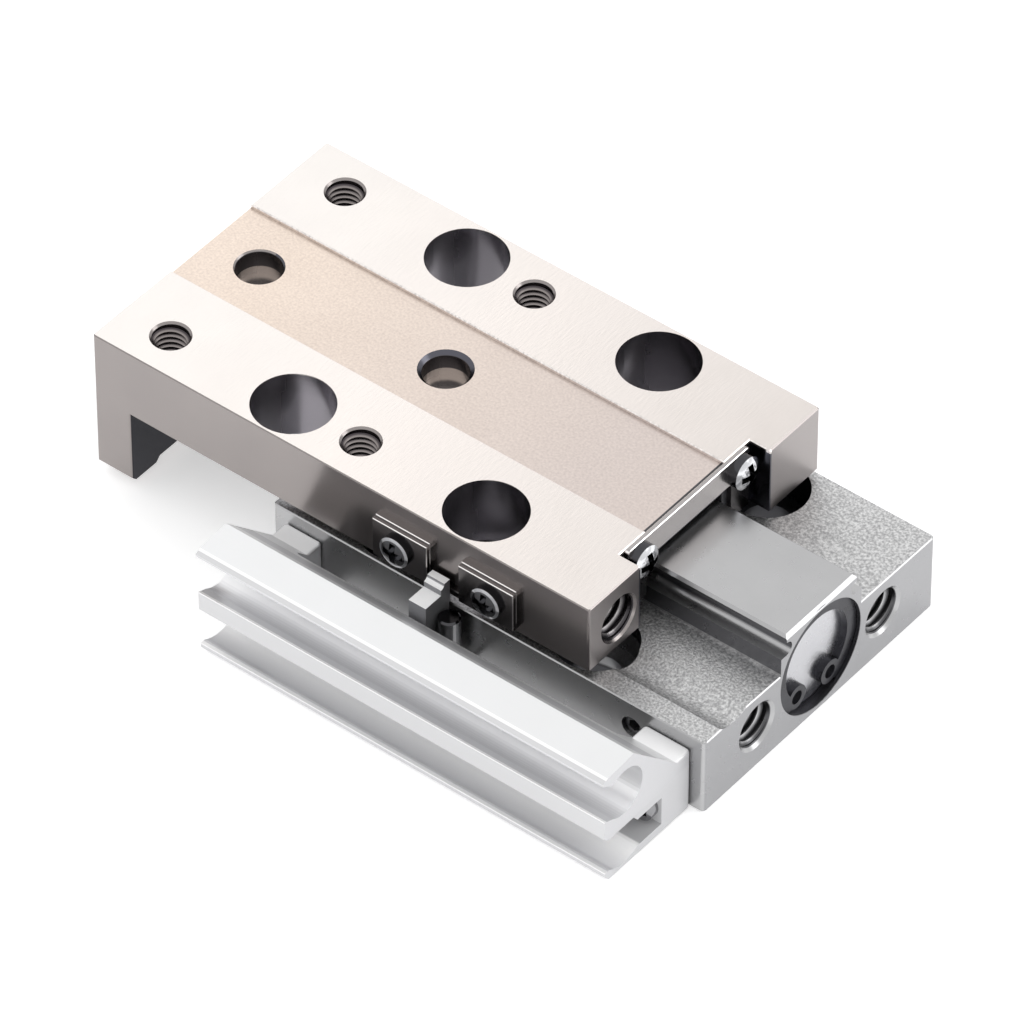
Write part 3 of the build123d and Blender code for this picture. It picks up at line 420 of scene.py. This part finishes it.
def table_holes(finish, colour):
    """Adds painted shade inside the access holes and the locating holes, darkest on the locating holes'
    floors, to the table's colour.
    """
    access_reach = 4.5
    access_mouth = 18.97
    locating_reach = 2.52
    locating_mouth = 18.6
    locating_floor = 16.5
    head_hole = mount_place("access_hole_near_head")
    rod_hole = mount_place("access_hole_near_rod")
    middle = (head_hole[0] + rod_hole[0]) / 2
    away = finish.from_holes(middle, (head_hole[0] - rod_hole[0]) / 2, -head_hole[1])
    shaded_access = finish.both(finish.within(away, access_reach, WIDE_EDGE), finish.below("Z", access_mouth))
    colour = finish.mix(shaded_access, colour, (0.28, 0.265, 0.29))
    for name in ("locating_hole_head", "locating_hole_rod"):
        away = finish.from_line("XY", mount_place(name)[:2])
        inside = finish.both(
            finish.within(away, locating_reach, MIDDLE_EDGE), finish.below("Z", locating_mouth)
        )
        shade = finish.mix(finish.below("Z", locating_floor), (0.09, 0.085, 0.09), (0.55, 0.5, 0.47))
        colour = finish.mix(inside, colour, shade)
    return colour


def table_threads(finish, colour):
    """Adds painted shade inside the threads of the table's face and of the stop hole, lightest at the crests
    and darkest at the roots, to the table's colour.
    """
    face_reach = 2.02
    face_crest, face_root = 1.72, 1.9
    face_mouth, face_bottom = 18.85, 12.2
    stop_reach = 2.6
    stop_crest, stop_root = 2.1, 2.4
    stop_mouth, stop_bottom = 12.85, 2.0
    away = finish.from_holes(*hole_grid("table_threads"))
    shaded_thread = finish.both(
        finish.within(away, face_reach, MIDDLE_EDGE),
        finish.above("Z", face_bottom), finish.below("Z", face_mouth),
    )
    depth = finish.spread(away, face_crest, face_root)
    colour = finish.mix(shaded_thread, colour, finish.mix(depth, (0.3, 0.27, 0.26), (0.07, 0.06, 0.065)))
    away = finish.from_line("YZ", mount_place("stop_thread")[1:])
    shaded_stop = finish.both(
        finish.within(away, stop_reach, NARROW_EDGE),
        finish.below("X", stop_mouth), finish.above("X", stop_bottom),
    )
    depth = finish.spread(away, stop_crest, stop_root)
    return finish.mix(shaded_stop, colour, finish.mix(depth, (0.5, 0.48, 0.48), (0.07, 0.065, 0.07)))


def extrusion_finish():
    """Clear anodised aluminium extrusion: satin, with faint lines along it, painted highlights on the slot
    edges and the tops of the feet, and painted shade on the lips, the nose and the faces towards the body.
    """
    finish = Finish("extrusion_finish", (0.8, 0.8, 0.81), 0.5, 0.36)
    lines = finish.noise(1.0, 3.0, 0.6, stretch=(25.0, 4200.0, 4200.0))
    etch = finish.noise(4200.0, 2.0)
    patches = finish.noise(150.0, 3.0)
    light = finish.mix(patches, (0.78, 0.785, 0.79), (0.81, 0.815, 0.82))
    reach = finish.math("MULTIPLY", finish.at("Y"), -1.0)

    # All below the flange takes the slots' painted light and shade, but not the low end of the rear slope and
    # the feet
    slot_top = 13.6
    rear_reach, rear_bottom = 24.5, 8.0
    rear = finish.both(finish.under(reach, rear_reach), finish.above("Z", rear_bottom))
    slots = finish.both(finish.below("Z", slot_top), finish.but(rear))
    colour = finish.mix(slots, light, slot_light_and_shade(finish, reach))

    # Painted shade on the faces of the two lips and the nose of the flange, painted highlights on their edges
    # and on the tops of the feet
    lip_top = 13.0
    nose_bottom, nose_top = 13.7, 14.48
    front_reach = 32.3
    highlight_edges = ((1.3, 1.5), (8.62, 8.8), (14.44, 14.56))
    foot_reach, foot_low, foot_high = 22.0, 7.7, 8.3
    lips = finish.both(finish.faces("Y", -1), finish.below("Z", lip_top))
    colour = finish.mix(lips, colour, (0.69, 0.69, 0.7))
    front = finish.over(reach, front_reach)
    nose = finish.both(finish.above("Z", nose_bottom), finish.below("Z", nose_top), front)
    colour = finish.mix(nose, colour, (0.72, 0.72, 0.73))
    for low, high in highlight_edges:
        edge = finish.both(finish.above("Z", low), finish.below("Z", high), front)
        colour = finish.mix(edge, colour, (1.0, 1.0, 1.0))
    foot_level = finish.both(finish.above("Z", foot_low), finish.below("Z", foot_high))
    foot = finish.both(finish.faces("Z"), foot_level, finish.under(reach, foot_reach))
    colour = finish.mix(foot, colour, (0.98, 0.98, 0.985))
    # Painted shade on the faces that look towards the body, and a darker tone on the end faces
    colour = finish.mix(finish.faces("Y"), colour, (0.4, 0.4, 0.41))
    finish.colour(finish.mix(finish.faces("X"), colour, (0.63, 0.63, 0.645)))

    # The tops of the feet and the inside of the lower slot are the least like a mirror
    mirror, mirror_loss = 0.5, 0.45
    deep_top, deep_reach = 6.2, 31.4
    deep = finish.both(finish.below("Z", deep_top), finish.under(reach, deep_reach))
    loss = finish.math("MULTIPLY", finish.either(foot, deep), mirror_loss)
    finish.metallic(finish.math("SUBTRACT", mirror, loss))
    finish.roughness(finish.spread(lines, 0.3, 0.7, 0.32, 0.4))
    finish.bump(lines, 0.0025)
    finish.bump(etch, 0.0015)
    return finish.material


def slot_light_and_shade(finish, reach):
    """Painted light and shade inside the slots: the upper one darker where its wall turns towards the body,
    the lower one lighter towards the back.
    """
    lower_slot_top = 6.2
    floor_back, floor_front = 28.4, 31.4
    inner_reach, inner_soft_reach = 27.1, 27.3
    inner_start, inner_end = 14.0, 21.0
    turned = finish.spread(finish.facing("Y", -1), -0.5, 0.25)
    upper = finish.mix(turned, (0.6, 0.6, 0.615), (0.99, 0.99, 1.0))
    lower = finish.mix(finish.spread(reach, floor_back, floor_front), (1.0, 1.0, 1.0), (0.72, 0.72, 0.74))

    # The back wall of the lower slot is less lit towards the head end
    inner = finish.both(
        finish.spread(finish.at("X"), inner_start, inner_end),
        finish.spread(reach, inner_soft_reach, inner_reach),
    )
    lower = finish.mix(inner, lower, (0.5, 0.5, 0.51))
    return finish.mix(finish.above("Z", lower_slot_top), lower, upper)


def plain_metal(name, dark, light, roughness, grain_depth=0.003):
    """Metal with small changes of tone, smudges in its gloss and a fine grain."""
    finish = Finish(name, light, 1.0, roughness)
    patches = finish.noise(220.0, 4.0)
    finish.colour(finish.mix(patches, dark, light))
    finish.roughness(finish.spread(patches, 0.3, 0.7, roughness * 0.85, roughness * 1.25))
    finish.bump(finish.noise(2600.0, 2.0), grain_depth)
    return finish.material


def sheet_finish():
    """Plated sheet with painted light and shade: each direction has its own tone, darkest on the -Y faces,
    the bevels have painted highlights and the unlit low parts painted shade.
    """
    end_plate_foot = 15.95
    strip_y, strip_top = -19.32, 12.2
    finish = Finish("sheet_finish", (0.6, 0.57, 0.56), 1.0, 0.2)
    patches = finish.noise(220.0, 4.0)
    end = finish.mix(patches, (0.54, 0.51, 0.5), (0.62, 0.59, 0.58))
    side = finish.mix(patches, (0.15, 0.14, 0.14), (0.19, 0.175, 0.175))
    # Painted shade by direction, painted highlights on the bevels and painted shade on the low parts
    colour = finish.mix(finish.faces("Y", -1), end, side)
    colour = finish.mix(finish.faces("Z"), colour, (0.4, 0.38, 0.375))
    upward = finish.facing("Z")
    bevel = finish.both(finish.spread(upward, 0.5, 0.6), finish.but(finish.spread(upward, 0.8, 0.9)))
    colour = finish.mix(bevel, colour, (0.95, 0.92, 0.91))
    low_end = finish.both(finish.faces("X"), finish.below("Z", end_plate_foot))
    low_strip = finish.both(finish.above("Y", strip_y), finish.below("Z", strip_top))
    finish.colour(finish.mix(finish.either(low_end, low_strip), colour, (0.07, 0.065, 0.065)))
    finish.roughness(finish.spread(patches, 0.3, 0.7, 0.17, 0.25))
    finish.bump(finish.noise(2600.0, 2.0), 0.003)
    return finish.material


def edged_metal(name, face, top, side, roughness, metallic=1.0, grain_depth=0.003, scale=2600.0):
    """Metal with painted light and shade by direction: one tone on upward faces and broken edges, one on -Y
    faces and one on the others.
    """
    finish = Finish(name, face, metallic, roughness)
    patches = finish.noise(220.0, 4.0)
    colour = finish.mix(finish.faces("Y", -1), face, side)
    colour = finish.mix(finish.spread(finish.facing("Z"), 0.4, 0.6), colour, top)
    tint = finish.tree.nodes.new("ShaderNodeVectorMath")
    tint.operation = "SCALE"
    finish.link(colour, tint.inputs["Vector"])
    finish.link(finish.spread(patches, 0.3, 0.7, 0.88, 1.0), tint.inputs["Scale"])
    finish.colour(tint.outputs["Vector"])
    finish.roughness(finish.spread(patches, 0.3, 0.7, roughness * 0.85, roughness * 1.25))
    finish.bump(finish.noise(scale, 2.0), grain_depth)
    return finish.material


def screw_finish():
    """Plated steel screws: crowns darkened by painted shade, mottled on the end screws, a bright rim, and
    painted shade on the walls and in the deep recess.
    """
    rail_screw_top = 9.0
    finish = Finish("screw_finish", (0.9, 0.9, 0.92), 1.0, 0.12)
    patches = finish.noise(900.0, 3.0)
    mottle = finish.spread(finish.noise(2600.0, 2.0), 0.42, 0.58)
    ends = finish.spread(finish.facing("X"), 0.87, 0.92)
    sides = finish.spread(finish.facing("Y", -1), 0.935, 0.955)
    colour = finish.mix(patches, (0.6, 0.61, 0.63), (0.85, 0.85, 0.87))
    # Painted shade on the crowns, mottled on the end screws
    colour = finish.mix(ends, colour, finish.mix(mottle, (0.16, 0.16, 0.17), (0.62, 0.62, 0.64)))
    colour = finish.mix(sides, colour, (0.13, 0.13, 0.135))

    # Painted shade in the recess, with a painted glint where it looks up
    glint = finish.spread(finish.facing("Z"), 0.5, 0.8)
    recess_shade_and_glint = finish.mix(glint, (0.04, 0.04, 0.045), (0.85, 0.85, 0.87))
    for heads in (END_HEADS, CLAMP_HEADS):
        for place in heads["places"]:
            wall, recess = head_masks(finish, heads, place)
            colour = finish.mix(wall, colour, heads["wall_shade"])
            colour = finish.mix(recess, colour, recess_shade_and_glint)

    # Painted shade on the switch rail's screws, low down in their slot
    finish.colour(finish.mix(finish.above("Z", rail_screw_top), (0.28, 0.28, 0.29), colour))
    finish.roughness(finish.spread(patches, 0.3, 0.7, 0.1, 0.2))
    finish.bump(patches, 0.004)
    return finish.material


def head_masks(finish, heads, place):
    """The wall of one pan head, below its crown's rim, and its recess, below the crown's dome."""
    wall_margin, crown_margin = 0.06, 0.04
    top, dome, rim = heads["top"], heads["dome"], heads["rim"]
    out = finish.math("MULTIPLY", finish.at(heads["axis"]), heads["sign"])
    away = finish.from_line(heads["plane"], place)
    crown = finish.math("ADD", out, finish.math("MULTIPLY", finish.math("POWER", away, 2.0), dome))
    wall = finish.both(
        finish.over(away, rim), finish.under(away, HEAD_REACH),
        finish.under(out, top - dome * rim ** 2 - wall_margin), finish.over(out, top - HEAD_DEPTH),
    )
    recess = finish.both(
        finish.under(crown, top - crown_margin), finish.over(out, top - RECESS_DEPTH),
        finish.under(away, RECESS_REACH),
    )
    return wall, recess


def turned_finish():
    """Aluminium disc with fine turning rings around the bore's axis."""
    finish = Finish("turned_finish", (0.86, 0.86, 0.87), 1.0, 0.22)
    ring_rate = 60.0
    away = finish.from_line("YZ", (0.0, BORE_HEIGHT))
    rings = finish.math("SINE", finish.math("MULTIPLY", away, ring_rate))
    patches = finish.noise(300.0, 4.0)
    finish.colour(finish.mix(patches, (0.52, 0.52, 0.545), (0.64, 0.64, 0.66)))
    finish.roughness(finish.spread(patches, 0.3, 0.7, 0.18, 0.34))
    finish.bump(rings, 0.0012)
    return finish.material


def dark_finish(name, colour, metallic, roughness):
    """Dark steel, rubber or plastic with a soft uneven sheen."""
    finish = Finish(name, colour, metallic, roughness)
    patches = finish.noise(500.0, 4.0)
    lighter = tuple(min(1.0, 1.7 * part + 0.01) for part in colour)
    finish.colour(finish.mix(finish.spread(patches, 0.35, 0.7), colour, lighter))
    finish.roughness(finish.spread(patches, 0.3, 0.7, roughness * 0.8, roughness * 1.2))
    finish.bump(finish.noise(3000.0, 2.0), 0.004)
    return finish.material


FINISHES = {
    "body_metal": body_finish(),
    "table_steel": table_finish(),
    "switch_rail_metal": extrusion_finish(),
    "cap_metal": turned_finish(),
    "screw_steel": screw_finish(),
    "ball_steel": plain_metal("ball_finish", (0.8, 0.8, 0.8), (0.88, 0.88, 0.88), 0.05, 0.0005),
    "rod_steel": plain_metal("rod_finish", (0.7, 0.7, 0.71), (0.78, 0.78, 0.79), 0.08, 0.0008),
    "plate_steel": sheet_finish(),
    "holder_steel": edged_metal(
        "holder_finish", (0.12, 0.12, 0.125), (1.0, 1.0, 1.0), (0.26, 0.26, 0.275), 0.35,
        metallic=0.0, grain_depth=0.008, scale=1500.0,
    ),
    "magnet_metal": edged_metal(
        "magnet_finish", (0.35, 0.35, 0.36), (0.08, 0.08, 0.085), (0.5, 0.5, 0.51), 0.14
    ),
    "bush_bronze": plain_metal("bush_finish", (0.5, 0.34, 0.17), (0.62, 0.44, 0.25), 0.35),
    "ring_steel": dark_finish("ring_finish", (0.025, 0.025, 0.03), 0.7, 0.3),
    "plug_steel": dark_finish("plug_finish", (0.1, 0.1, 0.105), 0.8, 0.3),
    "seal_rubber": dark_finish("seal_finish", (0.02, 0.02, 0.02), 0.0, 0.45),
    "bumper_rubber": dark_finish("bumper_finish", (0.03, 0.03, 0.028), 0.0, 0.55),
    "wear_ring_plastic": dark_finish("wear_ring_finish", (0.2, 0.15, 0.09), 0.0, 0.45),
    "guide_plastic": dark_finish("guide_finish", (0.03, 0.03, 0.034), 0.0, 0.4),
}

for subpart in frame["record"]["subparts"]:
    mesh = frame["nodes"][subpart["node"]].data
    mesh.materials.clear()
    mesh.materials.append(FINISHES[subpart["material_slot"]])


def thread_piece(name, mouth, out, radius, pitch, length, body, slot):
    """Thread ridges inside a plain hole: a helix of a blunt triangle, thinner at both ends."""
    side = out.orthogonal().normalized()
    other = out.cross(side)
    steps = int((length - pitch) / pitch * TURN_SEGMENTS)
    lead_steps = LEAD_TURNS * TURN_SEGMENTS
    shape = bmesh.new()
    rings = []
    for step in range(steps + 1):
        angle = -2.0 * math.pi * step / TURN_SEGMENTS
        ray = math.cos(angle) * side + math.sin(angle) * other
        down = pitch * (FIRST_TURN + step / TURN_SEGMENTS)
        lead = min(1.0, step / lead_steps, (steps - step) / lead_steps)
        crest = radius - max(LEAD_DEPTH, lead) * RIDGE_DEPTH * pitch
        points = (
            (radius + RIDGE_OVERLAP, -RIDGE_HALF_ROOT * pitch),
            (crest, -RIDGE_HALF_CREST * pitch),
            (crest, RIDGE_HALF_CREST * pitch),
            (radius + RIDGE_OVERLAP, RIDGE_HALF_ROOT * pitch),
        )
        ring = [shape.verts.new(mouth + ray * reach - out * (down + shift)) for reach, shift in points]
        rings.append(ring)
    for first, second in zip(rings, rings[1:]):
        for corner in range(4):
            following = (corner + 1) % 4
            shape.faces.new((first[corner], first[following], second[following], second[corner]))
    shape.faces.new(rings[0])
    shape.faces.new(reversed(rings[-1]))
    bmesh.ops.recalc_face_normals(shape, faces=shape.faces)
    mesh = bpy.data.meshes.new(name)
    shape.to_mesh(mesh)
    shape.free()
    piece = bpy.data.objects.new(name, mesh)
    bpy.context.scene.collection.objects.link(piece)
    mesh.materials.append(FINISHES[slot])
    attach(piece, body)


def add_face_threads():
    """The four threads of the table's face."""
    pattern = MOUNTS["table_threads"]
    centre = Vector(pattern["pos_m"])
    half_x = pattern["dims"]["spacing_x_mm"] * MM / 2
    half_y = pattern["dims"]["spacing_y_mm"] * MM / 2
    radius = pattern["dims"]["hole_r_mm"] * MM
    up = Vector((0, 0, 1))
    for number, (sign_x, sign_y) in enumerate(((-1, -1), (1, -1), (-1, 1), (1, 1)), 1):
        mouth = centre + Vector((sign_x * half_x, sign_y * half_y, -FACE_THREAD_START))
        name = f"face_thread_{number}"
        thread_piece(name, mouth, up, radius, M4_PITCH, M4_LENGTH, "table", "table_steel")


def add_head_threads():
    """The threads that open towards the head end: the two ports and the stop thread."""
    along = Vector((1, 0, 0))
    body_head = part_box("body")[1].x
    table_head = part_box("table")[1].x
    for name, face, body, slot in (
        ("near_port", body_head, "body", "body_metal"),
        ("far_port", body_head, "body", "body_metal"),
        ("stop_thread", table_head, "table", "table_steel"),
    ):
        dims = MOUNTS[name]["dims"]
        mouth = Vector(MOUNTS[name]["pos_m"])
        mouth.x = face - HEAD_THREAD_START
        radius, length = dims["r_mm"] * MM, dims["length_mm"] * MM
        thread_piece(f"{name}_ridges", mouth, along, radius, M5_PITCH, length, body, slot)


add_face_threads()
add_head_threads()


def floor_material():
    """White floor: lit like any surface, with a little glow of its own so that it reads as white."""
    finish = Finish("floor_finish", FLOOR_COLOUR, 0.0, 0.9)
    finish.shader.inputs["Specular IOR Level"].default_value = 0.0
    path = finish.tree.nodes.new("ShaderNodeLightPath")
    seen = finish.either(path.outputs["Is Camera Ray"], path.outputs["Is Glossy Ray"])
    seen = finish.either(seen, path.outputs["Is Transmission Ray"])
    finish.shader.inputs["Emission Color"].default_value = (1, 1, 1, 1)
    finish.link(finish.math("MULTIPLY", seen, FLOOR_GLOW), finish.shader.inputs["Emission Strength"])
    return finish.material


def add_floor():
    """A flat floor under the object."""
    shape = bmesh.new()
    bmesh.ops.create_grid(shape, x_segments=8, y_segments=8, size=FLOOR_SIZE / 2)
    mesh = bpy.data.meshes.new("floor")
    shape.to_mesh(mesh)
    shape.free()
    floor = bpy.data.objects.new("floor", mesh)
    floor.location = (0, 0, cad_box[0][2])
    bpy.context.scene.collection.objects.link(floor)
    mesh.materials.append(floor_material())


def add_world():
    """A soft sky: white overhead and greyer towards the horizon."""
    world = bpy.data.worlds.new("studio")
    world.use_nodes = True
    bpy.context.scene.world = world
    tree = world.node_tree
    background = tree.nodes["Background"]
    coordinates = tree.nodes.new("ShaderNodeTexCoord")
    split = tree.nodes.new("ShaderNodeSeparateXYZ")
    tree.links.new(coordinates.outputs["Generated"], split.inputs["Vector"])
    height = tree.nodes.new("ShaderNodeMapRange")
    height.inputs["From Min"].default_value = 0.0
    height.inputs["From Max"].default_value = WORLD_ZENITH_HEIGHT
    height.inputs["To Min"].default_value = WORLD_HORIZON
    height.inputs["To Max"].default_value = WORLD_ZENITH
    tree.links.new(split.outputs["Z"], height.inputs["Value"])
    tree.links.new(height.outputs["Result"], background.inputs["Strength"])
    background.inputs["Color"].default_value = (1, 1, 1, 1)


def add_lamps():
    """Two round soft panels behind the object: one to the left and a lower one to the right."""
    for name, place, size, power in LAMPS:
        light = bpy.data.lights.new(name, "AREA")
        light.energy = power
        light.shape = "DISK"
        light.size = size
        lamp = bpy.data.objects.new(name, light)
        lamp.location = place
        aim = CAMERA_TARGET - Vector(place)
        lamp.rotation_euler = aim.to_track_quat("-Z", "Y").to_euler()
        bpy.context.scene.collection.objects.link(lamp)


def add_camera():
    """The camera of the photograph."""
    back = Vector((
        math.sin(CAMERA_AZIMUTH) * math.cos(CAMERA_ELEVATION),
        -math.cos(CAMERA_AZIMUTH) * math.cos(CAMERA_ELEVATION),
        math.sin(CAMERA_ELEVATION),
    ))
    right = Vector((math.cos(CAMERA_AZIMUTH), math.sin(CAMERA_AZIMUTH), 0))
    up = back.cross(right)
    turn = Matrix.Rotation(CAMERA_ROLL, 3, back)
    right = turn @ right
    up = turn @ up
    data = bpy.data.cameras.new("photo_camera")
    data.sensor_width = SENSOR_WIDTH
    data.lens = CAMERA_LENS
    data.clip_end = CAMERA_REACH
    camera = bpy.data.objects.new("photo_camera", data)
    axes = Matrix((right, up, back)).transposed().to_4x4()
    camera.matrix_world = Matrix.Translation(CAMERA_TARGET + back * CAMERA_DISTANCE) @ axes
    bpy.context.scene.collection.objects.link(camera)
    bpy.context.scene.camera = camera


add_floor()
add_world()
add_lamps()
add_camera()
bpy.context.scene.view_settings.view_transform = "Standard"
